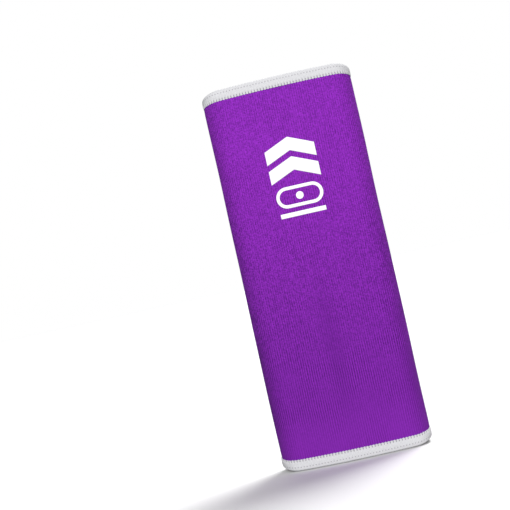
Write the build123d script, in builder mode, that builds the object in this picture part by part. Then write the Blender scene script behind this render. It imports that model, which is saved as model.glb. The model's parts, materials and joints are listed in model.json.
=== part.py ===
"""Elbow pad: an elastic knit sleeve with a foam pad inside its front, overlocked hems and a white mark.

Millimetres. +Z runs along the arm with the upper-arm end at the top, +X is across the width, and the
padded front with the mark faces -Y. The origin is the centre of the footprint, on the lower rim.
The sleeve bends at the elbow line, so every piece that crosses that line is made in two halves: the
forearm half below it, and the upper-arm half above it, which turns about the crook at the back.
"""

import os
from math import hypot

from build123d import *

# Sleeve: a knitted tube, pressed to a flat oval section
sleeve_width = 100.0
sleeve_depth = 32.0
forearm_length = 128.0
upper_arm_length = 128.0
side_radius = 13.0
knit_wall = 2.2

# Overlocked hems: the knit edge is pinched, and thread wraps its face, its inside and its rim
hem_height = 7.4
rim_corner_width = 13.0
rim_corner_drop = 4.5
pinched_wall = 1.2
face_stand = 0.3
inside_stand = 0.3
rim_thread = 1.2
needle_thread_width = 0.7
needle_thread_stand = 0.25

# Foam pad, held against the inside of the front
foam_width = 67.0
foam_height = 116.0
foam_thickness = 8.0
foam_corner = 16.0

# Pocket lining that holds the foam, with a flange sewn to the knit
lining_thickness = 1.0
pocket_flange = 4.5
seam_inset = 1.5
seam_width = 1.0
seam_stand = 0.5

# Mark: two chevrons, a ring with a dot, and a bar, in thin film
mark_below_rim = 41.0
mark_spacing = 3.0
chevron_width = 33.0
chevron_rise = 7.0
chevron_band = 9.0
chevron_pitch = 13.0
badge_width = 31.0
badge_height = 14.0
badge_band = 2.2
badge_dot = 5.0
bar_width = 30.0
bar_height = 3.0
film_thickness = 0.2

# Clearances
elbow_gap = 0.3
layer_gap = 0.1

# Worked out from the values above
sleeve_length = forearm_length + upper_arm_length
elbow_height = forearm_length
half_width = sleeve_width / 2
half_depth = sleeve_depth / 2
face_radius = ((half_width - side_radius) ** 2 + half_depth**2 - side_radius**2) / (
    2 * (half_depth - side_radius)
)
face_centre = face_radius - half_depth
pinch = (knit_wall - pinched_wall) / 2
thread_middle = knit_wall / 2
foam_inset = knit_wall + layer_gap
lining_inset = foam_inset + foam_thickness + layer_gap
wall_margin = layer_gap + lining_thickness
flange_margin = wall_margin + pocket_flange
seam_face = foam_inset + lining_thickness
seam_margin = flange_margin - seam_inset
clear_of_part = sleeve_length + sleeve_width
forearm_top = elbow_height - elbow_gap / 2
upper_arm_base = elbow_height + elbow_gap / 2


def oval(inset):
    """The tube's outline, inset from its outer face: two broad arcs joined by two tight side arcs."""
    tight = side_radius - inset
    broad = face_radius - inset
    side = half_width - side_radius
    lean = hypot(side, face_centre)
    join_x = side + tight * side / lean
    join_y = tight * face_centre / lean
    with BuildLine() as outline:
        ThreePointArc((-join_x, -join_y), (0, face_centre - broad), (join_x, -join_y))
        ThreePointArc((join_x, -join_y), (side + tight, 0), (join_x, join_y))
        ThreePointArc((join_x, join_y), (0, broad - face_centre), (-join_x, join_y))
        ThreePointArc((-join_x, join_y), (-side - tight, 0), (-join_x, -join_y))
    return outline.edges()


def tube_section(outer_inset, inner_inset, height):
    """A closed ring of the tube between two insets, lying at a height."""
    with BuildSketch(Plane.XY.offset(height)) as section:
        make_face(oval(outer_inset))
        make_face(oval(inner_inset), mode=Mode.SUBTRACT)
    return section.sketch


def front_section(outer_inset, inner_inset):
    """The ring between two circles about the front face's centre, lying at the floor."""
    with BuildSketch(Plane.XY) as section:
        with Locations((0, face_centre)):
            Circle(face_radius - outer_inset)
            Circle(face_radius - inner_inset, mode=Mode.SUBTRACT)
    return section.sketch


def inside_rim(end, lift):
    """The front outline of what lies `lift` inside a rim: straight across, drooping at the corners.

    end is -1 for the lower rim and 1 for the upper rim. The outline is closed at the elbow line.
    """
    rim = 0 if end < 0 else sleeve_length
    level = rim - end * lift
    shoulder = level - end * rim_corner_drop
    flat = half_width - rim_corner_width
    edge = half_width + 2 * face_stand
    with BuildSketch(Plane.XZ) as outline:
        with BuildLine():
            Line((-flat, level), (flat, level))
            EllipticalCenterArc((flat, shoulder), edge - flat, rim_corner_drop, 90 * end, arc_size=-90 * end)
            Polyline((edge, shoulder), (edge, elbow_height), (-edge, elbow_height), (-edge, shoulder))
            EllipticalCenterArc((-flat, shoulder), edge - flat, rim_corner_drop, 180, arc_size=-90 * end)
        make_face()
    return outline.sketch


def front_plate(outer_inset, inner_inset, margin):
    """A curved plate that follows the front between two insets, cut to the foam's outline plus a margin."""
    with BuildPart() as plate:
        extrude(front_section(outer_inset, inner_inset), amount=sleeve_length)
        with BuildSketch(Plane.XZ):
            with Locations((0, elbow_height)):
                RectangleRounded(foam_width + 2 * margin, foam_height + 2 * margin, foam_corner + margin)
        extrude(amount=sleeve_depth, both=True, mode=Mode.INTERSECT)
    return plate.part


def half_block(end):
    """A block that holds everything on one side of the elbow gap."""
    base = forearm_top - clear_of_part if end < 0 else upper_arm_base
    with BuildPart() as block:
        with BuildSketch(Plane.XY.offset(base)):
            Rectangle(clear_of_part, clear_of_part)
        extrude(amount=clear_of_part)
    return block.part


def chevron(top):
    """Outline of a chevron that points up, its tip at a height."""
    side = chevron_width / 2
    return [
        (0, top),
        (side, top - chevron_rise),
        (side, top - chevron_rise - chevron_band),
        (0, top - chevron_band),
        (-side, top - chevron_rise - chevron_band),
        (-side, top - chevron_rise),
    ]


def finish(builder, name):
    """Labels a finished piece and writes it to its file."""
    builder.part.label = name
    export_step(builder.part, f"parts/{name}.step")


os.makedirs("parts", exist_ok=True)

for half, end in (("forearm", -1), ("upper_arm", 1)):
    rim = 0 if end < 0 else sleeve_length
    hem_line = rim - end * hem_height
    elbow_side = forearm_top if end < 0 else upper_arm_base
    up = (0, 0, 1)

    # Half of the knitted tube, thinner under the hem where the overlock pinches its edge
    with BuildPart() as knit_sleeve:
        extrude(tube_section(0, knit_wall, elbow_side), amount=hem_line - elbow_side, dir=up)
        extrude(tube_section(pinch, knit_wall - pinch, hem_line), amount=rim - hem_line, dir=up)
        extrude(inside_rim(end, rim_thread), amount=sleeve_depth, both=True, mode=Mode.INTERSECT)
    finish(knit_sleeve, f"knit_sleeve_{half}")

    # Looper thread on the face, which turns over the rim as far as the middle of the knit
    with BuildPart() as face_thread:
        extrude(tube_section(-face_stand, thread_middle, hem_line), amount=rim - hem_line, dir=up)
        extrude(inside_rim(end, 0), amount=sleeve_depth, both=True, mode=Mode.INTERSECT)
        add(knit_sleeve.part, mode=Mode.SUBTRACT)
    finish(face_thread, f"hem_face_thread_{half}")

    # Looper thread on the inside, which meets the other one along the middle of the rim
    with BuildPart() as inside_thread:
        extrude(
            tube_section(thread_middle, knit_wall + inside_stand, hem_line),
            amount=rim - hem_line,
            dir=up,
        )
        extrude(inside_rim(end, 0), amount=sleeve_depth, both=True, mode=Mode.INTERSECT)
        add(knit_sleeve.part, mode=Mode.SUBTRACT)
    finish(inside_thread, f"hem_inside_thread_{half}")

    # Needle thread, a thin line on the face along the inner edge of the loopers
    with BuildPart() as needle_thread:
        extrude(
            tube_section(-needle_thread_stand, 0, hem_line),
            amount=-end * needle_thread_width,
            dir=up,
        )
    finish(needle_thread, f"hem_needle_thread_{half}")

    # Half of the foam pad, curved to the inside of the front
    with BuildPart() as foam_pad:
        add(front_plate(foam_inset, foam_inset + foam_thickness, 0))
        add(half_block(end), mode=Mode.INTERSECT)
    finish(foam_pad, f"foam_pad_{half}")

    # Half of the lining: a tray over the foam, with a flange that lies on the knit
    with BuildPart() as pocket_lining:
        add(front_plate(foam_inset, foam_inset + lining_thickness, flange_margin))
        add(front_plate(foam_inset, lining_inset + lining_thickness, wall_margin))
        add(front_plate(0, lining_inset, layer_gap), mode=Mode.SUBTRACT)
        add(half_block(end), mode=Mode.INTERSECT)
    finish(pocket_lining, f"pocket_lining_{half}")

    # Half of the seam that sews the flange to the knit
    with BuildPart() as pocket_seam:
        add(front_plate(seam_face, seam_face + seam_stand, seam_margin))
        add(front_plate(0, seam_face + seam_stand, seam_margin - seam_width), mode=Mode.SUBTRACT)
        add(half_block(end), mode=Mode.INTERSECT)
    finish(pocket_seam, f"pocket_seam_{half}")

# The mark, in film that follows the front: every piece lies on the upper-arm half
chevron_top = sleeve_length - mark_below_rim
badge_top = chevron_top - chevron_pitch - chevron_rise - chevron_band - mark_spacing
bar_top = badge_top - badge_height - mark_spacing

for name, top in (("mark_upper_chevron", chevron_top), ("mark_lower_chevron", chevron_top - chevron_pitch)):
    with BuildPart() as film:
        extrude(front_section(-film_thickness, 0), amount=sleeve_length)
        with BuildSketch(Plane.XZ):
            with BuildLine():
                Polyline(*chevron(top), close=True)
            make_face()
        extrude(amount=sleeve_depth, both=True, mode=Mode.INTERSECT)
    finish(film, name)

with BuildPart() as mark_ring:
    extrude(front_section(-film_thickness, 0), amount=sleeve_length)
    with BuildSketch(Plane.XZ):
        with Locations((0, badge_top - badge_height / 2)):
            SlotOverall(badge_width, badge_height)
            SlotOverall(badge_width - 2 * badge_band, badge_height - 2 * badge_band, mode=Mode.SUBTRACT)
    extrude(amount=sleeve_depth, both=True, mode=Mode.INTERSECT)
finish(mark_ring, "mark_ring")

with BuildPart() as mark_dot:
    extrude(front_section(-film_thickness, 0), amount=sleeve_length)
    with BuildSketch(Plane.XZ):
        with Locations((0, badge_top - badge_height / 2)):
            Circle(badge_dot / 2)
    extrude(amount=sleeve_depth, both=True, mode=Mode.INTERSECT)
finish(mark_dot, "mark_dot")

with BuildPart() as mark_bar:
    extrude(front_section(-film_thickness, 0), amount=sleeve_length)
    with BuildSketch(Plane.XZ):
        with Locations((0, bar_top - bar_height / 2)):
            Rectangle(bar_width, bar_height)
    extrude(amount=sleeve_depth, both=True, mode=Mode.INTERSECT)
finish(mark_bar, "mark_bar")
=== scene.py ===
"""Looks of a knitted elbow pad: sleeve, overlocked hems, foam pad in its lining, and a white film mark.

Lengths are metres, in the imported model's own frame: +Z along the arm, the marked front towards -Y.
"""

import json
from math import atan2, cos, pi, radians, sin

import bpy
import numpy as np
from mathutils import Matrix, Vector


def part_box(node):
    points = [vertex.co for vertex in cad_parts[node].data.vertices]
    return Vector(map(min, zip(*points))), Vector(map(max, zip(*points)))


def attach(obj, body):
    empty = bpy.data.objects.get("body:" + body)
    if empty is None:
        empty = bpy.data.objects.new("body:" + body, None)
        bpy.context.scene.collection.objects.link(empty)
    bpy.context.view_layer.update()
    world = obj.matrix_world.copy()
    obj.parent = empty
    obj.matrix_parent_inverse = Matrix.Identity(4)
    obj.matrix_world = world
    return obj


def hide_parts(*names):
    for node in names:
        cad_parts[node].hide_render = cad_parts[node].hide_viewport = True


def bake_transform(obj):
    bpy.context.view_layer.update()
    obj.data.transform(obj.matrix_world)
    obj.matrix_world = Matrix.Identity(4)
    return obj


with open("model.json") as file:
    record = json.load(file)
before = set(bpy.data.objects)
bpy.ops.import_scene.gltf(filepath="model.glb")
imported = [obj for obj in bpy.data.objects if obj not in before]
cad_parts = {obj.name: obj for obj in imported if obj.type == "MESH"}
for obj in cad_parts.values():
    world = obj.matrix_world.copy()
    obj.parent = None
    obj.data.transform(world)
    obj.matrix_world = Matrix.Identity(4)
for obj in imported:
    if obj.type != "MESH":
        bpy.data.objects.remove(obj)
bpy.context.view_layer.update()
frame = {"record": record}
mm = 0.001

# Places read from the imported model
joint = frame["record"]["behaviour"]["joints"][0]
half_width, half_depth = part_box("knit_sleeve_forearm")[1][:2]
sleeve_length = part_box("hem_face_thread_upper_arm")[1][2]
hem_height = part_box("hem_face_thread_forearm")[1][2]
elbow_height = joint["pos_m"][2]
foam_half_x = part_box("foam_pad_upper_arm")[1][0]
foam_half_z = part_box("foam_pad_upper_arm")[1][2] - elbow_height

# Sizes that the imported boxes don't give
side_radius = 13 * mm
knit_wall = 2.2 * mm
pinched_wall = 1.2 * mm
rim_thread = 1.2 * mm
rim_corner_width = 13 * mm
rim_corner_drop = 4.5 * mm
rim_side_room = 0.6 * mm
hem_line_rise = 2.2 * mm
layer_gap = 0.1 * mm
foam_thickness = 8 * mm
foam_corner = 16 * mm
lining_thickness = 1.0 * mm
lining_margin = 5.6 * mm
seam_margin = 3.6 * mm
film_thickness = 0.28 * mm
chevron_band = 9 * mm
ring_band = 2.2 * mm

# Textile counts: wales run along the arm, courses round it, and each hem has its overlock stitches
# Wales of 1.5 mm are a quarter coarser than such a knit has, so that its ribs still show from a metre away
wale_pitch = 1.5 * mm
course_pitch = 0.9 * mm
stitch_pitch = 2.01 * mm
seam_stitch = 2.6 * mm
lining_wale = 0.9 * mm
lining_course = 0.8 * mm

# Relief of the knit: its ribs, the rise over the foam, the valley down the front, and the crook's folds
rib_height = 0.09 * mm
foam_rise = 0.30 * mm
valley_depth = 0.55 * mm
valley_half_width = 6 * mm
fold_depth = 0.45 * mm
fold_pitch = 10.5 * mm

# The section's arcs, and its length
side_centre = half_width - side_radius
face_radius = (side_centre**2 + half_depth**2 - side_radius**2) / (2 * (half_depth - side_radius))
face_centre = face_radius - half_depth
face_angle = atan2(side_centre, face_centre)
face_half = face_radius * face_angle
side_angle = pi - 2 * face_angle
side_arc = side_radius * side_angle
section_length = 4 * face_half + 2 * side_arc
front_middle = section_length / 2
wales = round(section_length / wale_pitch)
stitches = round(section_length / stitch_pitch)


def section(s):
    """Points and outward normals of the sleeve's section at distances s from the middle of its back.

    The normal's angle grows evenly along each arc, and each arc has its own centre and radius:
    back, left side, front, right side, back again.
    """
    ends = np.cumsum([0, face_half, side_arc, 2 * face_half, side_arc, face_half])
    turn = np.cumsum([pi / 2, face_angle, side_angle, 2 * face_angle, side_angle, face_angle])
    angle = np.interp(s, ends, turn)
    arc = np.clip(np.searchsorted(ends, s, side="right") - 1, 0, 4)
    centre_x = np.array([0, -side_centre, 0, side_centre, 0])[arc]
    centre_y = np.array([-face_centre, 0, face_centre, 0, -face_centre])[arc]
    radius = np.array([face_radius, side_radius, face_radius, side_radius, face_radius])[arc]
    normal = np.stack([np.cos(angle), np.sin(angle)], axis=-1)
    return np.stack([centre_x, centre_y], axis=-1) + radius[..., None] * normal, normal


def placed(s, out, z):
    """Points at distance s round the section, `out` from its face, at height z.

    Each is the face's point plus `out` times the face's normal.
    """
    s, out, z = np.broadcast_arrays(s, out, z)
    point, normal = section(np.mod(s, section_length))
    flat = point + out[..., None] * normal
    return np.concatenate([flat, z[..., None]], axis=-1)


def front_s(x):
    """Distance round the section of the front point at x: the front's middle plus radius times angle."""
    return front_middle + face_radius * np.arcsin(x / face_radius)


def step(low, high, value):
    """Smooth step from 0 at low to 1 at high."""
    t = np.clip((value - low) / (high - low), 0, 1)
    return t * t * (3 - 2 * t)


def bump(value, width):
    """Bell curve of a half-width."""
    return np.exp(-((value / width) ** 2))


def relief(s, z):
    """How far the knit stands out from the plain section.

    A soft rise over the foam, a shallow valley down the front's middle below the elbow and near the top,
    low folds across the crook, and long faint waves that a knit keeps from being folded.
    """
    across, above_elbow = s - front_middle, z - elbow_height
    over_foam = step(foam_half_x + 4 * mm, foam_half_x - 9 * mm, np.abs(across)) * step(
        foam_half_z + 4 * mm, foam_half_z - 12 * mm, np.abs(above_elbow)
    )
    front = step(face_half + 6 * mm, face_half - 12 * mm, np.abs(across))
    below_elbow = step(26 * mm, 52 * mm, z) * step(136 * mm, 100 * mm, z)
    near_top = 0.6 * step(222 * mm, 240 * mm, z)
    valley = (below_elbow + near_top) * front * bump(across, valley_half_width)
    turn = 2 * pi * s / section_length
    from_back = np.minimum(s, section_length - s)
    fold_line = above_elbow / fold_pitch + 0.35 * np.sin(2 * turn + 0.6)
    at_crook = bump(above_elbow, 24 * mm) * step(face_half + 4 * mm, face_half - 18 * mm, from_back)
    folds = at_crook * (np.cos(2 * pi * fold_line) - 1)
    waves = mm * (
        0.10 * np.sin(2 * turn + 41 * z + 1.1)
        + 0.08 * np.sin(3 * turn - 63 * z + 0.4)
        + 0.05 * np.sin(5 * turn + 97 * z + 2.3)
    )
    return foam_rise * over_foam - valley_depth * valley + fold_depth * folds + waves


def hem_pull(s, z):
    """How far the overlock draws the knit in beside a hem: a narrow dip with one pucker to each stitch."""
    dip_depth, dip_width = 0.18 * mm, 2.6 * mm
    pucker_height, pucker_reach = 0.10 * mm, 2.2 * mm
    line = hem_line(s)
    gap = np.minimum(np.abs(z - line), np.abs(sleeve_length - line - z))
    pucker = np.cos(2 * pi * stitches * s / section_length) * np.exp(-gap / pucker_reach)
    return pucker_height * pucker - dip_depth * bump(gap, dip_width)


def corner_curve(s):
    """Nothing across the middle of the front and back, and an ellipse's quarter up to 1 at the sides."""
    x = np.abs(section(np.mod(s, section_length))[0][..., 0])
    t = np.clip((x - (half_width - rim_corner_width)) / (rim_corner_width + rim_side_room), 0, 1)
    return 1 - np.sqrt(1 - t * t)


def hem_line(s):
    """How far the hem line lies from its rim's straight stretch: it curves inwards at the sides."""
    return hem_height + hem_line_rise * corner_curve(s)


def from_rim(end, s, depth):
    """Height of a point `depth` inside a rim, where end is -1 for the lower rim and 1 for the upper one.

    A depth of 0 lies on the rim's curve, the hem's height on the hem line, and the rest evenly between.
    """
    rim = rim_corner_drop * corner_curve(s)
    inside = rim + depth * (hem_line(s) - rim) / hem_height
    return inside if end < 0 else sleeve_length - inside


def quads(columns, rows, wrap_columns, wrap_rows):
    """Corner numbers of a grid's faces, for points stored column by column."""
    i = np.arange(columns if wrap_columns else columns - 1)
    j = np.arange(rows if wrap_rows else rows - 1)
    i, j = np.meshgrid(i, j, indexing="ij")
    right, up = (i + 1) % columns, (j + 1) % rows
    corners = [i * rows + j, right * rows + j, right * rows + up, i * rows + up]
    return np.stack(corners, axis=-1).reshape(-1, 4)


def make_piece(name, points, faces, uv=None, slots=None):
    """Puts points and four-cornered faces into a mesh, with the UV map that its cloth pattern follows."""
    mesh = bpy.data.meshes.new(name)
    mesh.vertices.add(len(points))
    mesh.vertices.foreach_set("co", np.ascontiguousarray(points, np.float32).ravel())
    mesh.loops.add(faces.size)
    mesh.loops.foreach_set("vertex_index", faces.astype(np.int32).ravel())
    mesh.polygons.add(len(faces))
    mesh.polygons.foreach_set("loop_start", np.arange(0, faces.size, 4, dtype=np.int32))
    mesh.polygons.foreach_set("use_smooth", np.ones(len(faces), bool))
    if uv is not None:
        layer = mesh.uv_layers.new(name="cloth")
        layer.data.foreach_set("uv", np.ascontiguousarray(uv, np.float32).ravel())
    if slots is not None:
        mesh.polygons.foreach_set("material_index", slots.astype(np.int32))
    mesh.update(calc_edges=True)
    mesh.validate()
    piece = bpy.data.objects.new(name, mesh)
    bpy.context.scene.collection.objects.link(piece)
    return piece


def grid_uv(u, v, columns, rows, wrap_columns, wrap_rows):
    """UV of each face corner, from values at the grid's columns and rows.

    Where the grid is wrapped, u or v has one value more, for the far side of its last faces.
    """
    i = np.arange(columns if wrap_columns else columns - 1)
    j = np.arange(rows if wrap_rows else rows - 1)
    i, j = np.meshgrid(i, j, indexing="ij")
    corner = [(i, j), (i + 1, j), (i + 1, j + 1), (i, j + 1)]
    return np.stack([np.stack([u[a], v[b]], axis=-1) for a, b in corner], axis=2).reshape(-1, 2)


def slab(name, front, back, wrap_columns=False, uv=None):
    """A closed sheet between two grids of points: both faces, and walls along the open edges."""
    columns, rows = front.shape[:2]
    face = quads(columns, rows, wrap_columns, False)
    count = columns * rows
    index = np.arange(count).reshape(columns, rows)
    edges = [(index[:, 0], wrap_columns), (index[::-1, -1], wrap_columns)]
    if not wrap_columns:
        edges += [(index[-1, :], False), (index[0, ::-1], False)]
    walls = []
    for line, closed in edges:
        after = np.roll(line, -1) if closed else line[1:]
        line = line if closed else line[:-1]
        walls.append(np.stack([line + count, after + count, after, line], axis=-1))
    faces = np.concatenate([face, face[:, ::-1] + count, *walls])
    points = np.concatenate([front.reshape(-1, 3), back.reshape(-1, 3)])
    flat_uv = None
    if uv is not None:
        flat = np.concatenate([uv.reshape(-1, 2)] * 2)
        flat_uv = flat[faces.reshape(-1)]
    return make_piece(name, points, faces, flat_uv)


def cord_ring(name, centre, first, second, radius, sides, turns):
    """A closed thread: a circle of `sides` points in the plane of two vectors, carried along a closed path.

    The path runs as the second vector crossed with the first, so that the faces point outwards.
    """
    a = 2 * pi * np.arange(sides) / sides
    ring = first[:, None] * np.cos(a)[None, :, None] + second[:, None] * np.sin(a)[None, :, None]
    points = centre[:, None] + radius[:, None, None] * ring
    count = len(centre)
    u = np.linspace(0, turns, count + 1)
    v = np.linspace(0, 1, sides + 1)
    faces = quads(count, sides, True, True)
    return make_piece(name, points.reshape(-1, 3), faces, grid_uv(u, v, count, sides, True, True))


def build_sleeve():
    """The knitted tube, closed round both cut edges: up its face, over the upper edge and down its inside.

    Columns run along the wales, four to each, so that every wale is a rounded rib. The rows' heights are
    evenly spaced less a sine of their share, so that they lie a little closer towards both hems. Under the
    hems the wall is pinched between the loopers.
    """
    columns_per_wale, wall_rows = 4, 100
    row_crowding = 0.035
    columns = wales * columns_per_wale
    s = np.arange(columns)[:, None] / columns * section_length
    t = np.linspace(0, 1, wall_rows)[None, :]
    low, high = hem_line(s), sleeve_length - hem_line(s)
    z = low + (high - low) * (t - row_crowding * np.sin(2 * pi * t) / pi)
    rib = rib_height * np.cos(2 * pi * wales * s / section_length)
    smooth_out = relief(s, z) + hem_pull(s, z)
    face_out = smooth_out + rib
    inside_out = smooth_out - knit_wall - 0.5 * rib
    pinch = (knit_wall - pinched_wall) / 2
    depth = np.array([rim_thread, 0.75 * hem_height])[None, :]
    low_edge, high_edge = from_rim(-1, s, depth), from_rim(1, s, depth[:, ::-1])
    parts = [
        placed(s, -pinch, low_edge),
        placed(s, face_out, z),
        placed(s, -pinch, high_edge),
        placed(s, pinch - knit_wall, high_edge[:, ::-1]),
        placed(s, inside_out[:, ::-2], z[:, ::-2]),
        placed(s, pinch - knit_wall, low_edge[:, ::-1]),
    ]
    points = np.concatenate(parts, axis=1)
    rows = points.shape[1]
    faces = quads(columns, rows, True, True)
    height = points[0, :, 2]
    u = np.arange(columns + 1) / columns * wales
    v = np.append(height, height[0]) / course_pitch
    inside = (np.arange(rows) >= parts[0].shape[1] + wall_rows + parts[2].shape[1]).astype(int)
    slots = np.tile(inside, columns)
    uv = grid_uv(u, v, columns, rows, True, True)
    return make_piece("knit_sleeve", points.reshape(-1, 3), faces, uv, slots)


def hem_profile(face_side):
    """Half of the hem's section as distance out and depth from the rim, with its outward direction.

    From the hem line the thread climbs on to a low dome, highest half way, then turns over the rim in a
    quarter of an ellipse as far as the knit's middle. The inside half is its mirror image.
    """
    crown, shoulder, climb = 0.48 * mm, 0.25 * mm, 0.3 * mm
    turn_depth, rim_depth = 1.8 * mm, 0.3 * mm
    dome_rows, turn_rows = 14, 9
    middle = -knit_wall / 2
    q = np.arange(dome_rows) / dome_rows
    depth = hem_height - (hem_height - turn_depth) * q
    dome = shoulder + (crown - shoulder) * (1 - (2 * q - 1) ** 4)
    out = dome * (1 - np.exp(-(hem_height - depth) / climb))
    turn = np.linspace(0, pi / 2, turn_rows)
    out = np.append(out, middle + (shoulder - middle) * np.cos(turn))
    depth = np.append(depth, turn_depth - (turn_depth - rim_depth) * np.sin(turn))
    lean = np.append(np.zeros(dome_rows), turn)
    side = 1 if face_side else -1
    out = middle + side * (out - middle)
    return out, depth, side * np.cos(lean), -np.sin(lean)


def build_hem_thread(name, end, face_side):
    """A looper thread as the row of strands that it lays over half of the hem, closed behind.

    The surface follows the hem's profile round the section. At each stitch the strands end in a tooth on the
    knit, a slot sinks between two teeth where the needle pulled them down, a knot swells on the rim, and fine
    strands lean across the dome.
    """
    columns_per_stitch = 10
    strand_height, knot_height, slot_depth, tooth_length = 0.025 * mm, 0.20 * mm, 0.50 * mm, 0.45 * mm
    columns = stitches * columns_per_stitch
    s = np.arange(columns)[:, None] / columns * section_length
    stitch = stitches * s / section_length
    out, depth, lean_out, lean_depth = (a[None, :] for a in hem_profile(face_side))
    share = 1 - depth / hem_height
    uneven = np.sin(2 * pi * stitch / 7.3 + end) * np.sin(2 * pi * stitch / 3.1)
    strand = np.cos(2 * pi * (3 * stitch + 0.8 * share))
    tooth = (0.5 + 0.5 * np.cos(2 * pi * stitch)) * (1 + 0.3 * uneven)
    knot = tooth * bump(depth - 0.7 * mm, 0.9 * mm)
    slot = bump(np.mod(stitch, 1) - 0.5, 0.19) * bump(depth - (hem_height - 1.0 * mm), 0.8 * mm)
    swell = strand_height * strand * step(0, 0.15, share) + knot_height * knot - slot_depth * slot
    reach = tooth_length * tooth * bump(hem_height - depth, 0.5 * mm)
    face = placed(
        s,
        out + swell * lean_out,
        from_rim(end, s, depth + reach) - end * swell * lean_depth,
    )
    middle = -knit_wall / 2
    side = 1 if face_side else -1
    back_out = middle + side * np.array([0, 0.5, 0.5]) * pinched_wall
    back_depth = np.array([rim_thread, rim_thread, hem_height])
    back = placed(s, back_out[None, :], from_rim(end, s, back_depth[None, :]))
    points = np.concatenate([face, back], axis=1)
    rows = points.shape[1]
    faces = quads(columns, rows, True, True)
    outward = (end < 0) != face_side
    if not outward:
        faces = faces[:, ::-1]
    u = np.arange(columns + 1) / columns_per_stitch
    v = np.concatenate([share[0], [1, 1, 0], [0]])
    uv = grid_uv(u, v, columns, rows, True, True)
    uv = uv if outward else uv.reshape(-1, 4, 2)[:, ::-1].reshape(-1, 2)
    return make_piece(name, points.reshape(-1, 3), faces, uv)


def build_needle_thread(name, end):
    """The needle thread on the face: it lies along the hem line, over each tooth, and dives between teeth."""
    points_per_stitch, sides = 8, 6
    thread_radius, dive, arch = 0.20 * mm, 0.12 * mm, 0.36 * mm
    count = stitches * points_per_stitch
    s = np.arange(count) / count * section_length
    stitch = stitches * s / section_length
    over = np.abs(np.cos(pi * stitch))
    lift = arch * over**0.7 - dive
    z = from_rim(end, s, hem_height + mm * (0.05 + 0.20 * np.cos(2 * pi * stitch)))
    centre = placed(s, lift, z)
    outward = (placed(s, lift + mm, z) - centre) / mm
    up = np.tile([0.0, 0.0, 1.0], (count, 1))
    radius = thread_radius * (0.85 + 0.15 * over)
    return cord_ring(name, centre, outward, up, radius, sides, stitches)


def rounded(u, v, half_x, half_z, corner):
    """A square's points spread over a rounded rectangle: each side is drawn in by the other's square."""
    cut = corner * (1 - cos(pi / 4))
    in_x, in_z = 1 - (1 - cut / half_x) ** 2, 1 - (1 - cut / half_z) ** 2
    return half_x * u * np.sqrt(1 - in_x * v * v), half_z * v * np.sqrt(1 - in_z * u * u)


def outline_gap(x, z, half_x, half_z, corner):
    """Signed distance from a rounded rectangle's edge: negative inside."""
    dx, dz = np.abs(x) - half_x + corner, np.abs(z) - half_z + corner
    outer = np.hypot(np.maximum(dx, 0), np.maximum(dz, 0))
    return outer + np.minimum(np.maximum(dx, dz), 0) - corner


def build_foam():
    """The foam pad: a rounded rectangle on the curved front, eased to nothing at its rounded edges."""
    edge = 0.02 * mm
    u, v = np.meshgrid(np.linspace(-1, 1, 41), np.linspace(-1, 1, 61), indexing="ij")
    u, v = np.sin(pi / 2 * u), np.sin(pi / 2 * v)
    x, z = rounded(u, v, foam_half_x, foam_half_z, foam_corner)
    full = ((1 - u**8) * (1 - v**8)) ** 0.4
    front_out = -knit_wall - layer_gap - foam_thickness * 0.5 * (1 - full)
    back_out = front_out - edge - (foam_thickness - edge) * full
    s, height = front_s(x), elbow_height + z
    sag = relief(s, height)
    return slab("foam_pad", placed(s, front_out + sag, height), placed(s, back_out + sag, height))


def lining_out(x, z):
    """How far out the lining lies: flat on the knit round the foam, and over the foam's back inside its edge.

    It climbs the foam's side in a soft slope, gathered into faint pleats where it turns the corners.
    """
    slope_start, slope_end = 2.6 * mm, -4.2 * mm
    pleats, pleat_height, pleat_reach = 9, 0.12 * mm, 3 * mm
    gap = outline_gap(x, z, foam_half_x, foam_half_z, foam_corner)
    over = step(slope_start, slope_end, gap)
    pleat = pleat_height * np.cos(2 * pi * np.arctan2(z, x) * pleats) * bump(gap, pleat_reach)
    flat = -knit_wall - layer_gap - lining_thickness
    return flat - (foam_thickness + 2 * layer_gap) * over + pleat


def build_lining():
    """The lining: one cloth over the foam's back, with a flange all round that lies on the knit's inside."""
    half_x, half_z = foam_half_x + lining_margin, foam_half_z + lining_margin
    u, v = np.meshgrid(np.linspace(-1, 1, 75), np.linspace(-1, 1, 105), indexing="ij")
    x, z = rounded(u, v, half_x, half_z, foam_corner + lining_margin)
    s, height = front_s(x), elbow_height + z
    out = lining_out(x, z) + relief(s, height)
    uv = np.stack([x / lining_wale, height / lining_course], axis=-1)
    front = placed(s, out + lining_thickness, height)
    return slab("pocket_lining", front, placed(s, out, height), uv=uv)


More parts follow.
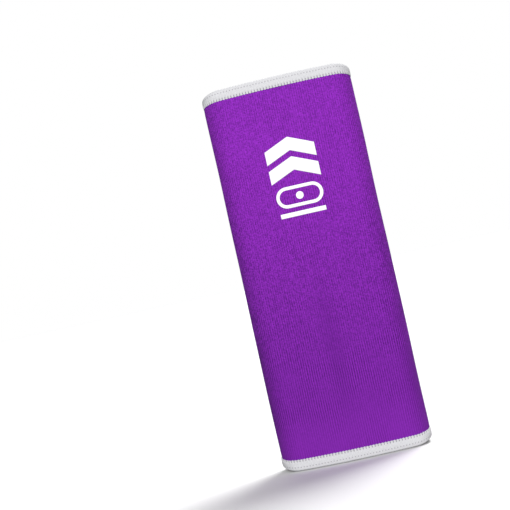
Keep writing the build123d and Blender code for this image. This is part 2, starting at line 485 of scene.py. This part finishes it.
def build_seam():
    """The seam's thread: it follows the flange's outline, inside its edge, and dives at each stitch."""
    points_per_stitch, sides = 8, 6
    thread_radius, arch = 0.3 * mm, 0.22 * mm
    half_x, half_z = foam_half_x + seam_margin, foam_half_z + seam_margin
    corner = foam_corner + seam_margin
    straight_x, straight_z = half_x - corner, half_z - corner
    quarter = pi / 2 * corner
    runs = np.array([2 * straight_z, quarter, 2 * straight_x, quarter] * 2)
    ends = np.append(0, np.cumsum(runs))
    turn = np.cumsum([0.0, 0, pi / 2, 0, pi / 2, 0, pi / 2, 0, pi / 2])
    seam_stitches = round(ends[-1] / seam_stitch)
    count = seam_stitches * points_per_stitch
    d = np.arange(count) / count * ends[-1]
    angle = np.interp(d, ends, turn)
    centre_x = np.interp(d, ends, straight_x * np.array([1, 1, 1, -1, -1, -1, -1, 1, 1]))
    centre_z = np.interp(d, ends, straight_z * np.array([-1, 1, 1, 1, 1, -1, -1, -1, -1]))
    x, z = centre_x + corner * np.cos(angle), centre_z + corner * np.sin(angle)
    s, height = front_s(x), elbow_height + z
    over = np.abs(np.cos(pi * d / ends[-1] * seam_stitches))
    out = lining_out(x, z) + relief(s, height) - arch * over**0.6
    centre = placed(s, out, height)
    inward = (placed(s, out - mm, height) - centre) / mm
    outward = placed(front_s(x + np.cos(angle) * mm), out, height + np.sin(angle) * mm) - centre
    outward /= np.linalg.norm(outward, axis=1)[:, None]
    radius = np.full(count, thread_radius)
    return cord_ring("pocket_seam", centre, inward, outward, radius, sides, seam_stitches)


def film(name, x, z, wrap_columns=False):
    """Film that lies on the knit's ribs at points x, z of the front, dipping a little between ribs."""
    s = front_s(x)
    back_out = relief(s, z) + rib_height / 3 * np.cos(2 * pi * wales * s / section_length)
    return slab(name, placed(s, back_out + film_thickness, z), placed(s, back_out, z), wrap_columns)


def build_chevron(name, low, high):
    """A chevron: a band whose height falls evenly from the middle to both sides."""
    rise = high[2] - low[2] - chevron_band
    t, q = np.meshgrid(np.linspace(-1, 1, 67), np.linspace(0, 1, 13), indexing="ij")
    return film(name, t * high[0], high[2] - chevron_band * (1 - q) - rise * np.abs(t))


def build_ring(name, low, high):
    """A flat ring: two half circles joined by straights, carried inwards by the ring's band."""
    radius = (high[2] - low[2]) / 2
    straight = high[0] - radius
    run = pi * (radius - ring_band / 2)
    ends = np.cumsum([0, 2 * straight, run, 2 * straight, run])
    d = np.linspace(0, ends[-1], 161)[:-1, None]
    angle = np.interp(d, ends, [-pi / 2, -pi / 2, pi / 2, pi / 2, 3 * pi / 2])
    centre = np.interp(d, ends, [-straight, straight, straight, -straight, -straight])
    reach = radius - ring_band * np.linspace(0, 1, 6)[None, :]
    x = centre + reach * np.cos(angle)
    z = (low[2] + high[2]) / 2 + reach * np.sin(angle)
    return film(name, x, z, wrap_columns=True)


def build_dot(name, low, high):
    """A disc: a square's points drawn in to a circle."""
    radius = (high[2] - low[2]) / 2
    u, v = np.meshgrid(np.linspace(-1, 1, 17), np.linspace(-1, 1, 17), indexing="ij")
    x, z = radius * u * np.sqrt(1 - v * v / 2), radius * v * np.sqrt(1 - u * u / 2)
    return film(name, x, (low[2] + high[2]) / 2 + z)


def build_bar(name, low, high):
    """A bar: a plain rectangle of film."""
    x, z = np.meshgrid(np.linspace(low[0], high[0], 61), np.linspace(low[2], high[2], 7), indexing="ij")
    return film(name, x, z)


def linear(colour):
    """A hex sRGB colour as linear red, green and blue with alpha."""
    value = np.array([int(colour[i : i + 2], 16) for i in (1, 3, 5)]) / 255
    value = np.where(value <= 0.04045, value / 12.92, ((value + 0.055) / 1.055) ** 2.4)
    return (*value.tolist(), 1.0)


def node(tree, kind, inputs=None, **settings):
    """Adds a node. Settings go on the node itself, and inputs on its sockets as values, nodes or sockets."""
    made = tree.nodes.new("ShaderNode" + kind)
    for key, value in settings.items():
        setattr(made, key, value)
    for key, value in (inputs or {}).items():
        if isinstance(value, bpy.types.Node):
            value = value.outputs[0]
        if isinstance(value, bpy.types.NodeSocket):
            tree.links.new(value, made.inputs[key])
        else:
            made.inputs[key].default_value = value
    return made


def new_material(name, **sockets):
    """A material with one Principled shader, its plain values set on the shader's own sockets."""
    material = bpy.data.materials.new(name)
    material.use_nodes = True
    tree = material.node_tree
    shader = tree.nodes["Principled BSDF"]
    for key, value in sockets.items():
        shader.inputs[key.replace("_", " ")].default_value = value
    return material, tree, shader


def knit_texture(tree):
    """Ribs, loops and specks, drawn on the cloth's own map: one unit is a wale across, or a course along.

    Returns the rib, about -1 in a groove and 1 on a crown, the loop, 0 to 1, and the speck, -0.5 to 0.5.
    """
    cloth = node(tree, "UVMap", uv_map="cloth")
    place = node(tree, "SeparateXYZ", {0: cloth})

    # The wales waver a little, the crown runs down each wale's middle, and each loop rises to a V between two
    # crowns
    drift = node(tree, "Mapping", {0: cloth, "Scale": (0.3, 0.1, 1)})
    waver = node(tree, "TexNoise", {"Vector": drift, "Scale": 1.0, "Detail": 1.0}, noise_dimensions="2D")
    wale = node(tree, "Math", {0: waver, 1: 0.35, 2: place.outputs["X"]}, operation="MULTIPLY_ADD")
    crown_line = node(tree, "Math", {0: wale}, operation="ROUND")
    aside = node(tree, "Math", {0: wale, 1: crown_line}, operation="SUBTRACT")
    aside = node(tree, "Math", {0: aside}, operation="ABSOLUTE")
    turn = node(tree, "Math", {0: aside, 1: 2 * pi}, operation="MULTIPLY")
    rib = node(tree, "Math", {0: turn}, operation="COSINE")
    rise = node(tree, "Math", {0: aside, 1: 1.1, 2: place.outputs["Y"]}, operation="MULTIPLY_ADD")
    row = node(tree, "Math", {0: rise}, operation="FLOOR")
    along = node(tree, "Math", {0: rise}, operation="FRACT")
    half_turn = node(tree, "Math", {0: along, 1: pi}, operation="MULTIPLY")
    loop = node(tree, "Math", {0: half_turn}, operation="SINE")

    # Each loop, and each dash of three loops up a wale, has its own share of the rib's contrast
    cell = node(tree, "CombineXYZ", {0: crown_line, 1: row})
    grain = node(tree, "TexWhiteNoise", {"Vector": cell}, noise_dimensions="2D").outputs["Value"]
    third = node(tree, "Math", {0: row, 1: 1 / 3}, operation="MULTIPLY")
    staggered = node(tree, "Math", {0: crown_line, 1: 0.37, 2: third}, operation="MULTIPLY_ADD")
    dash_row = node(tree, "Math", {0: staggered}, operation="FLOOR")
    dash_cell = node(tree, "CombineXYZ", {0: crown_line, 1: dash_row, 2: 7.0})
    dash = node(tree, "TexWhiteNoise", {"Vector": dash_cell}, noise_dimensions="3D").outputs["Value"]
    contrast = node(tree, "Math", {0: grain, 1: 0.3, 2: 0.7}, operation="MULTIPLY_ADD")
    contrast = node(tree, "Math", {0: dash, 1: 0.4, 2: contrast}, operation="MULTIPLY_ADD")

    # Patches some 17 wales wide where the ribs show more or less
    spread = node(tree, "Mapping", {0: cloth, "Scale": (0.06, 0.04, 1)})
    patch = node(tree, "TexNoise", {"Vector": spread, "Scale": 1.0, "Detail": 1.0}, noise_dimensions="2D")
    patch = node(
        tree,
        "MapRange",
        {"Value": patch, "From Min": 0.3, "From Max": 0.7, "To Min": 0.6, "To Max": 1.4},
    )
    contrast = node(tree, "Math", {0: contrast, 1: patch}, operation="MULTIPLY")
    uneven_rib = node(tree, "Math", {0: rib, 1: contrast}, operation="MULTIPLY")

    # Filaments of the textured yarn: specks half a wale wide
    finer = node(tree, "Mapping", {0: cloth, "Scale": (2, 1.4, 1)})
    speck_cell = node(tree, "VectorMath", {0: finer}, operation="FLOOR")
    speck = node(tree, "TexWhiteNoise", {"Vector": speck_cell}, noise_dimensions="2D").outputs["Value"]
    speck = node(tree, "Math", {0: speck, 1: 0.5}, operation="SUBTRACT")
    return uneven_rib, loop, speck


def knit_tone(tree):
    """How the knit's tone, with its painted light and shade, and its texture change over the sleeve, by the
    place on the object.

    Returns the tone, 0 to 1, how strongly the whole texture shows, and how strongly its ribs show.
    """
    spot = node(tree, "SeparateXYZ", {0: node(tree, "TexCoord").outputs["Object"]})

    # Painted light: the knit is painted lighter towards the upper-arm end, where more light falls
    tone = node(
        tree,
        "MapRange",
        {
            "Value": spot.outputs["Z"],
            "From Min": 60 * mm,
            "From Max": 230 * mm,
            "To Min": 0.37,
            "To Max": 0.60,
        },
        interpolation_type="SMOOTHSTEP",
    )

    # Painted shade: the fold down the front's middle below the elbow is painted a little darker, as its
    # valley would be shaded
    fold_x = node(tree, "Math", {0: spot.outputs["X"], 1: 1 / (7 * mm)}, operation="MULTIPLY")
    fold_z = node(tree, "Math", {0: spot.outputs["Z"], 1: 1 / (45 * mm), 2: -1.7}, operation="MULTIPLY_ADD")
    fold = node(tree, "VectorMath", {0: node(tree, "CombineXYZ", {0: fold_x, 1: fold_z})}, operation="LENGTH")
    fold = node(
        tree,
        "MapRange",
        {"Value": fold.outputs["Value"], "From Min": 0.0, "From Max": 1.6, "To Min": -0.07, "To Max": 0.0},
        interpolation_type="SMOOTHSTEP",
    )
    tone = node(tree, "Math", {0: tone, 1: fold}, operation="ADD")

    # Painted shade: the knit is painted darker towards the side folds, where the section turns away from the
    # light
    outwards = node(tree, "Math", {0: spot.outputs["X"]}, operation="ABSOLUTE")
    side = node(
        tree,
        "MapRange",
        {"Value": outwards, "From Min": 34 * mm, "From Max": 50 * mm, "To Min": 0.0, "To Max": -0.11},
        interpolation_type="SMOOTHSTEP",
    )
    tone = node(tree, "Math", {0: tone, 1: side}, operation="ADD")

    # Beside the lower hem the knit is a little lighter
    pull = node(
        tree,
        "MapRange",
        {"Value": spot.outputs["Z"], "From Min": 10 * mm, "From Max": 45 * mm, "To Min": 0.10, "To Max": 0.0},
        interpolation_type="SMOOTHSTEP",
    )
    tone = node(tree, "Math", {0: tone, 1: pull}, operation="ADD")

    # The texture fades towards the lower hem, which holds the knit open, and in the fold
    strength = node(
        tree,
        "MapRange",
        {"Value": spot.outputs["Z"], "From Min": 5 * mm, "From Max": 75 * mm, "To Min": 0.45, "To Max": 1.0},
        interpolation_type="SMOOTHSTEP",
    )
    strength = node(tree, "Math", {0: fold, 1: 6.0, 2: strength}, operation="MULTIPLY_ADD")

    # Ribs show most near the lower hem, and fade by half up to the elbow, as the knit is stretched wider
    ribbed = node(
        tree,
        "MapRange",
        {"Value": spot.outputs["Z"], "From Min": 45 * mm, "From Max": 125 * mm, "To Min": 1.0, "To Max": 0.5},
        interpolation_type="SMOOTHSTEP",
    )
    return tone, strength, ribbed


def knitted(name, crown, groove, rib_tone, loop_tone, grain_tone):
    """Elastic rib knit of textured polyester over rubber yarn, straight from the circular machine.

    The eye gets a dull cloth of fine upright ribs, broken by specks, because the filaments of textured yarn
    each take the light in their own way. The ribs' grooves and the gaps between loops are painted darker than
    the crowns, as painted shade in the hollows. The brushed tricot of the lining is drawn the same way, with
    fainter ribs.
    """
    material, tree, shader = new_material(
        name, Roughness=0.9, Specular_IOR_Level=0.15, Sheen_Weight=0.03, Sheen_Tint=linear("#C9A0E6")
    )
    rib, loop, speck = knit_texture(tree)
    tone, strength, ribbed = knit_tone(tree)

    # Where ribs fade, specks take their place
    shown_rib = node(tree, "Math", {0: rib, 1: ribbed}, operation="MULTIPLY")
    texture = node(tree, "Math", {0: shown_rib, 1: rib_tone}, operation="MULTIPLY")
    speckled = node(tree, "Math", {0: 1.5, 1: ribbed}, operation="SUBTRACT")
    shown_speck = node(tree, "Math", {0: speck, 1: speckled}, operation="MULTIPLY")
    texture = node(tree, "Math", {0: shown_speck, 1: grain_tone, 2: texture}, operation="MULTIPLY_ADD")
    tone = node(tree, "Math", {0: loop, 1: loop_tone, 2: tone}, operation="MULTIPLY_ADD")
    tone = node(tree, "Math", {0: texture, 1: strength, 2: tone}, operation="MULTIPLY_ADD", use_clamp=True)
    # Painted shade: the tone runs from the groove colour, the shade in the grooves and between loops, to the
    # crown colour
    colour = node(tree, "Mix", {0: tone, 6: linear(groove), 7: linear(crown)}, data_type="RGBA")
    tree.links.new(colour.outputs[2], shader.inputs["Base Color"])

    # Each rib and each loop is raised a little
    height = node(tree, "Math", {0: rib, 1: 0.7, 2: loop}, operation="MULTIPLY_ADD")
    raised = node(tree, "Bump", {"Height": height, "Strength": 0.6, "Distance": 0.2 * mm})
    tree.links.new(raised.outputs[0], shader.inputs["Normal"])
    return material


def overlock_yarn():
    """Textured polyester overlock yarn, white, laid in a dense row of strands over the cut edge.

    The eye gets a bright soft bead. Beside the hem line a short slot sinks between two stitches, where the
    needle pulled them down, and is painted grey as painted shade; on the rim a fainter dot of painted shade
    lies between two knots.
    """
    material, tree, shader = new_material(
        "textured_polyester_overlock_yarn", Roughness=0.85, Specular_IOR_Level=0.25, Sheen_Weight=0.05
    )
    cloth = node(tree, "UVMap", uv_map="cloth")
    place = node(tree, "SeparateXYZ", {0: cloth})
    stitch, share = place.outputs["X"], place.outputs["Y"]
    along_stitch = node(tree, "Math", {0: stitch}, operation="FRACT")
    between = node(tree, "Math", {0: along_stitch, 1: 0.5}, operation="SUBTRACT")

    # The slot and the dot: half-width in stitches, middle and half-length in shares of the hem's depth from
    # the hem line, and the light left in the middle
    slot, dot = (0.17, 0.09, 0.10, 0.0), (0.20, 0.64, 0.055, 0.20)
    marks = []
    for mark_half_width, mark_middle, mark_half_length, light_left in (slot, dot):
        aside = node(tree, "Math", {0: between, 1: 1 / mark_half_width}, operation="MULTIPLY")
        past = node(
            tree,
            "Math",
            {0: share, 1: 1 / mark_half_length, 2: -mark_middle / mark_half_length},
            operation="MULTIPLY_ADD",
        )
        gap = node(tree, "VectorMath", {0: node(tree, "CombineXYZ", {0: aside, 1: past})}, operation="LENGTH")
        mark = node(
            tree,
            "MapRange",
            {
                "Value": gap.outputs["Value"],
                "From Min": 0.4,
                "From Max": 1.3,
                "To Min": light_left,
                "To Max": 1.0,
            },
            interpolation_type="SMOOTHSTEP",
        )
        marks.append(mark)
    light = node(tree, "Math", {0: marks[0], 1: marks[1]}, operation="MINIMUM")

    filaments = node(tree, "Mapping", {0: cloth, "Scale": (7, 5, 1)})
    fibre = node(tree, "TexNoise", {"Vector": filaments, "Scale": 1.0, "Detail": 3.0}, noise_dimensions="2D")
    tone = node(tree, "MapRange", {"Value": fibre, "From Min": 0.3, "From Max": 0.7})
    strand = node(tree, "Mix", {0: tone, 6: linear("#C8C8CB"), 7: linear("#DDDDE0")}, data_type="RGBA")
    # Painted shade: the slot and the dot darken the yarn towards the grey colour
    colour = node(tree, "Mix", {0: light, 6: linear("#8B878F"), 7: strand.outputs[2]}, data_type="RGBA")
    tree.links.new(colour.outputs[2], shader.inputs["Base Color"])
    raised = node(tree, "Bump", {"Height": fibre, "Strength": 0.35, "Distance": 0.12 * mm})
    tree.links.new(raised.outputs[0], shader.inputs["Normal"])
    return material


def spun_thread(name, colour, shade):
    """Spun polyester sewing thread: two plies twisted together, which the eye gets as a slanting shade."""
    material, tree, shader = new_material(name, Roughness=0.8, Specular_IOR_Level=0.25)
    turns = node(tree, "Mapping", {0: node(tree, "UVMap", uv_map="cloth"), "Scale": (3, 2, 1)})
    ply = node(
        tree, "TexWave", {"Vector": turns, "Scale": 1.0, "Distortion": 0.6}, bands_direction="DIAGONAL"
    )
    mixed = node(tree, "Mix", {0: ply.outputs["Fac"], 6: linear(shade), 7: linear(colour)}, data_type="RGBA")
    tree.links.new(mixed.outputs[2], shader.inputs["Base Color"])
    raised = node(tree, "Bump", {"Height": ply.outputs["Fac"], "Strength": 0.4, "Distance": 0.1 * mm})
    tree.links.new(raised.outputs[0], shader.inputs["Normal"])
    return material


def transfer_film():
    """Heat-pressed polyurethane film, white: smooth and slightly satin, with the knit's ribs faint below."""
    material, tree, shader = new_material("heat_pressed_polyurethane_film", Roughness=0.5, IOR=1.5)
    place = node(tree, "TexCoord").outputs["Object"]
    grain = node(tree, "TexNoise", {"Vector": place, "Scale": 1 / (1.2 * mm), "Detail": 2.0})
    tone = node(tree, "Mix", {0: grain, 6: linear("#F6F6F8"), 7: linear("#FEFEFE")}, data_type="RGBA")
    tree.links.new(tone.outputs[2], shader.inputs["Base Color"])
    raised = node(tree, "Bump", {"Height": grain, "Strength": 0.25, "Distance": 0.08 * mm})
    tree.links.new(raised.outputs[0], shader.inputs["Normal"])
    return material


def foam_rubber():
    """Closed-cell EVA foam, cut from sheet: dull and dark, with a fine open grain of cut cells."""
    material, tree, shader = new_material("closed_cell_eva_foam", Roughness=0.9)
    place = node(tree, "TexCoord").outputs["Object"]
    cells = node(tree, "TexVoronoi", {"Vector": place, "Scale": 1 / (0.8 * mm)})
    tone = node(tree, "Mix", {0: cells, 6: linear("#1D1D20"), 7: linear("#3A3A40")}, data_type="RGBA")
    tree.links.new(tone.outputs[2], shader.inputs["Base Color"])
    raised = node(tree, "Bump", {"Height": cells, "Strength": 0.4, "Distance": 0.2 * mm})
    tree.links.new(raised.outputs[0], shader.inputs["Normal"])
    return material


def make_floor():
    """A plain pale floor, far wider than any view.

    It throws back less light than it shows, as paper does that is kept dim outside the view, so that the
    pad's sides stay shaded.
    """
    reach = 20.0
    corners = np.array([[-reach, -reach, 0], [reach, -reach, 0], [reach, reach, 0], [-reach, reach, 0]])
    floor = make_piece("floor", corners, np.array([[0, 1, 2, 3]]))
    material, tree, shader = new_material("white_studio_paper", Roughness=0.9, Base_Color=linear("#FAFAFA"))
    dim = node(tree, "BsdfDiffuse", {"Color": linear("#909090")})
    seen = node(tree, "LightPath").outputs["Is Camera Ray"]
    paper = node(tree, "MixShader", {0: seen, 1: dim, 2: shader})
    tree.links.new(paper.outputs[0], tree.nodes["Material Output"].inputs["Surface"])
    floor.data.materials.append(material)


def add_sun(name, towards, strength, width):
    """A soft light from far away, `width` degrees across, that lights what faces it to `strength`."""
    lamp = bpy.data.lights.new(name, "SUN")
    lamp.energy = strength * pi
    lamp.angle = radians(width)
    sun = bpy.data.objects.new(name, lamp)
    bpy.context.scene.collection.objects.link(sun)
    sun.rotation_mode = "QUATERNION"
    sun.rotation_quaternion = Vector(towards).to_track_quat("Z", "Y")


def light_the_studio():
    """White surroundings and three soft lights.

    The key comes from in front and a little above. A steep light from behind on the right throws the shadow
    forward, and a weak low one reaches the pad's back.
    """
    scene = bpy.context.scene
    scene.view_settings.view_transform = "Standard"
    scene.world = bpy.data.worlds.new("white_studio")
    scene.world.use_nodes = True
    tree = scene.world.node_tree
    fill = tree.nodes["Background"]
    fill.inputs["Color"].default_value = (1, 1, 1, 1)
    fill.inputs["Strength"].default_value = 0.15
    seen = node(tree, "Background", {"Color": (1, 1, 1, 1), "Strength": 1.0})
    pick = node(tree, "MixShader", {0: node(tree, "LightPath").outputs["Is Camera Ray"], 1: fill, 2: seen})
    tree.links.new(pick.outputs[0], tree.nodes["World Output"].inputs["Surface"])

    # Each light's name, the way towards it, its strength, and its width
    add_sun("key", (-0.03, -0.97, 0.25), 0.98, 24)
    add_sun("back_light", (0.36, 0.42, 0.83), 0.95, 30)
    add_sun("low_back_light", (-0.10, 0.98, 0.17), 0.35, 40)


def place_camera():
    """A lens square on to the front at mid height, rolled so that the pad leans left.

    The width share is the pad's width in the view's, and the other two shares are where the pad's middle
    stands from the view's, both as parts of the view's width.
    """
    distance = 0.69
    width_share = 0.294
    lean = radians(12.6)
    right_share, up_share = 0.1196, -0.0235
    camera = bpy.data.objects.new("camera", bpy.data.cameras.new("camera"))
    bpy.context.scene.collection.objects.link(camera)
    bpy.context.scene.camera = camera
    camera.data.sensor_width = 36.0
    camera.data.lens = width_share * camera.data.sensor_width * distance / (2 * half_width)
    view_width = 2 * half_width / width_share
    right = Vector((cos(lean), 0, -sin(lean)))
    up = Vector((sin(lean), 0, cos(lean)))
    aim = Vector((0, distance, 0)) - right * right_share * view_width - up * up_share * view_width
    back = -aim.normalized()
    across = up.cross(back).normalized()
    turned = Matrix((across, back.cross(across), back)).transposed()
    camera.matrix_world = Matrix.Translation((0, -distance, sleeve_length / 2)) @ turned.to_4x4()


light_the_studio()
place_camera()
make_floor()

# Each knit's groove colour is painted shade in its hollows
face_knit = knitted("elastic_rib_knit_face", "#9E31CC", "#4B106C", 0.25, 0.04, 0.48)
inside_knit = knitted("elastic_rib_knit_inside", "#9A45C4", "#6A2590", 0.20, 0.20, 0.20)
lining_knit = knitted("brushed_tricot_lining", "#8638AD", "#5A1F7A", 0.20, 0.15, 0.20)
yarn = overlock_yarn()
needle = spun_thread("spun_polyester_needle_thread", "#ECECEF", "#B8B8C0")
seam_yarn = spun_thread("spun_polyester_seam_thread", "#8A3AB0", "#4A1466")
film_white = transfer_film()
foam_black = foam_rubber()

sleeve = build_sleeve()
sleeve.data.materials.append(face_knit)
sleeve.data.materials.append(inside_knit)
foam = build_foam()
foam.data.materials.append(foam_black)
lining = build_lining()
lining.data.materials.append(lining_knit)
seam = build_seam()
seam.data.materials.append(seam_yarn)

# The sleeve and what is inside it cross the elbow; they take the place of both halves' parts and are attached
# to neither
crossing = [
    (sleeve, "knit_sleeve", "purple_knit"),
    (foam, "foam_pad", "foam"),
    (lining, "pocket_lining", "lining_fabric"),
    (seam, "pocket_seam", "purple_thread"),
]
for piece, stem, slot in crossing:
    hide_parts(f"{stem}_forearm", f"{stem}_upper_arm")
    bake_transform(piece)

for half, end in (("forearm", -1), ("upper_arm", 1)):
    body = f"{half}_half"
    face_name, inside_name, needle_name = (f"hem_{k}_thread_{half}" for k in ("face", "inside", "needle"))
    hem_pieces = [
        (build_hem_thread(f"overlock_face_{half}", end, True), face_name, "white_yarn", yarn),
        (build_hem_thread(f"overlock_inside_{half}", end, False), inside_name, "white_yarn", yarn),
        (build_needle_thread(f"overlock_needle_{half}", end), needle_name, "white_needle_thread", needle),
    ]
    for piece, stands_for, slot, material in hem_pieces:
        piece.data.materials.append(material)
        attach(piece, body)
        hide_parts(stands_for)

marks = {
    "mark_upper_chevron": build_chevron,
    "mark_lower_chevron": build_chevron,
    "mark_ring": build_ring,
    "mark_dot": build_dot,
    "mark_bar": build_bar,
}
for stands_for, build in marks.items():
    piece = build(stands_for.replace("mark", "film"), *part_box(stands_for))
    piece.data.materials.append(film_white)
    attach(piece, "upper_arm_half")
    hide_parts(stands_for)
